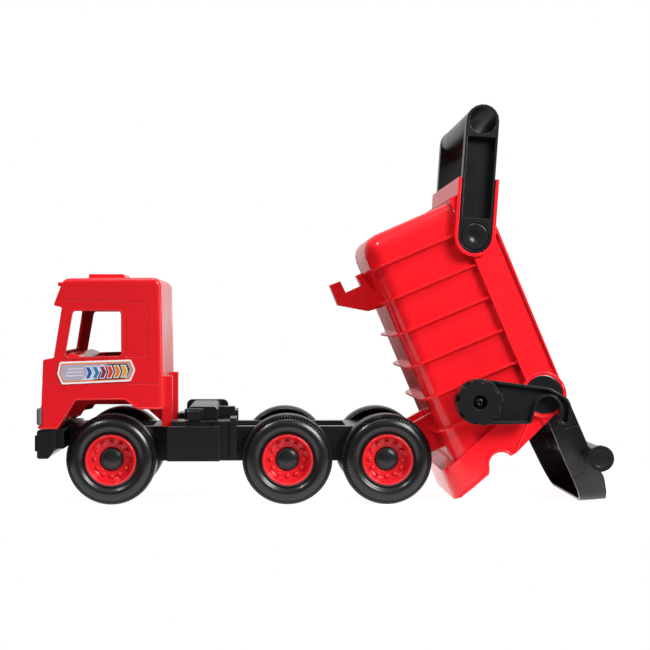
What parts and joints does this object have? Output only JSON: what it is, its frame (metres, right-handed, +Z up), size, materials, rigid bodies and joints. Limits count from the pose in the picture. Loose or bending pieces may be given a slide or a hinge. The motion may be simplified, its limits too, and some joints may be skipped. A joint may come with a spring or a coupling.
{
  "type": "toy tipper truck",
  "caption": "Six-wheel toy tipper truck with a tipping bed, a swinging tailgate, two knobbed latch levers, a bed lock and a carrying handle.",
  "frame": {"origin": "on the surface that the truck stands on, under the middle of its outer box", "axes": "+X towards the tailgate (the cab faces -X), +Y towards the truck's right side, +Z up"},
  "size_m": [0.4945, 0.1988, 0.3419],
  "materials": {
    "red_plastic": "glossy injection-moulded plastic",
    "black_plastic": "satin injection-moulded plastic",
    "tyre_plastic": "satin hard plastic, not rubber",
    "grey_plastic": "satin",
    "axle_steel": "drawn steel rod",
    "label_film": "printed gloss film"
  },
  "bodies": {
    "chassis": {"chassis_frame": "black_plastic", "front_bumper": "black_plastic", "tool_box_left": "black_plastic", "tool_box_right": "black_plastic", "lock_bracket": "black_plastic", "tipping_pin": "axle_steel", "cab_shell": "red_plastic", "roof_hatch": "red_plastic", "dashboard": "red_plastic", "headlight_left": "grey_plastic", "headlight_right": "grey_plastic", "side_label_left": "label_film", "side_label_right": "label_film", "front_axle": "axle_steel", "middle_axle": "axle_steel", "rear_axle": "axle_steel"},
    "bed": {"bed_tub": "red_plastic", "carry_handle": "black_plastic", "handle_pin_left": "black_plastic", "handle_pin_right": "black_plastic", "latch_screw_left": "black_plastic", "latch_screw_right": "black_plastic"},
    "tailgate": {"tailgate": "black_plastic"},
    "latch_left": {"latch_lever_left": "black_plastic", "latch_knob_left": "black_plastic"},
    "latch_right": {"latch_lever_right": "black_plastic", "latch_knob_right": "black_plastic"},
    "lock_bolt": {"bed_lock_bolt": "black_plastic"},
    "front_wheel_left": {"front_tyre_left": "tyre_plastic", "front_rim_left": "red_plastic", "front_hub_cap_left": "black_plastic"},
    "front_wheel_right": {"front_tyre_right": "tyre_plastic", "front_rim_right": "red_plastic", "front_hub_cap_right": "black_plastic"},
    "middle_wheel_left": {"middle_tyre_left": "tyre_plastic", "middle_rim_left": "red_plastic", "middle_hub_cap_left": "black_plastic"},
    "middle_wheel_right": {"middle_tyre_right": "tyre_plastic", "middle_rim_right": "red_plastic", "middle_hub_cap_right": "black_plastic"},
    "rear_wheel_left": {"rear_tyre_left": "tyre_plastic", "rear_rim_left": "red_plastic", "rear_hub_cap_left": "black_plastic"},
    "rear_wheel_right": {"rear_tyre_right": "tyre_plastic", "rear_rim_right": "red_plastic", "rear_hub_cap_right": "black_plastic"}
  },
  "joints": [
    {"name": "bed_tip", "type": "hinge", "parent": "chassis", "child": "bed", "pos_m": [0.06315, 0, 0.0506], "axis": [0, -1, 0], "range_deg": [0, 67]},
    {"name": "tailgate_swing", "type": "hinge", "parent": "bed", "child": "tailgate", "pos_m": [0.18707, 0, 0.09625], "axis": [0, 1, 0], "range_deg": [-15, 70]},
    {"name": "latch_left_swing", "type": "hinge", "parent": "bed", "child": "latch_left", "pos_m": [0.12947, -0.086, 0.09092], "axis": [0, 1, 0], "range_deg": [0, 61.3]},
    {"name": "latch_right_swing", "type": "hinge", "parent": "bed", "child": "latch_right", "pos_m": [0.12947, 0.086, 0.09092], "axis": [0, 1, 0], "range_deg": [0, 61.3]},
    {"name": "bed_lock_slide", "type": "slide", "parent": "chassis", "child": "lock_bolt", "axis": [0, -1, 0], "range_m": [0, 0.012]},
    {"name": "front_wheel_left_spin", "type": "hinge", "parent": "chassis", "child": "front_wheel_left", "pos_m": [-0.18165, -0.0505, 0.039], "axis": [0, 1, 0], "continuous": true},
    {"name": "front_wheel_right_spin", "type": "hinge", "parent": "chassis", "child": "front_wheel_right", "pos_m": [-0.18165, 0.0505, 0.039], "axis": [0, 1, 0], "continuous": true},
    {"name": "middle_wheel_left_spin", "type": "hinge", "parent": "chassis", "child": "middle_wheel_left", "pos_m": [-0.02975, -0.0505, 0.039], "axis": [0, 1, 0], "continuous": true},
    {"name": "middle_wheel_right_spin", "type": "hinge", "parent": "chassis", "child": "middle_wheel_right", "pos_m": [-0.02975, 0.0505, 0.039], "axis": [0, 1, 0], "continuous": true},
    {"name": "rear_wheel_left_spin", "type": "hinge", "parent": "chassis", "child": "rear_wheel_left", "pos_m": [0.05635, -0.0505, 0.039], "axis": [0, 1, 0], "continuous": true},
    {"name": "rear_wheel_right_spin", "type": "hinge", "parent": "chassis", "child": "rear_wheel_right", "pos_m": [0.05635, 0.0505, 0.039], "axis": [0, 1, 0], "continuous": true}
  ]
}
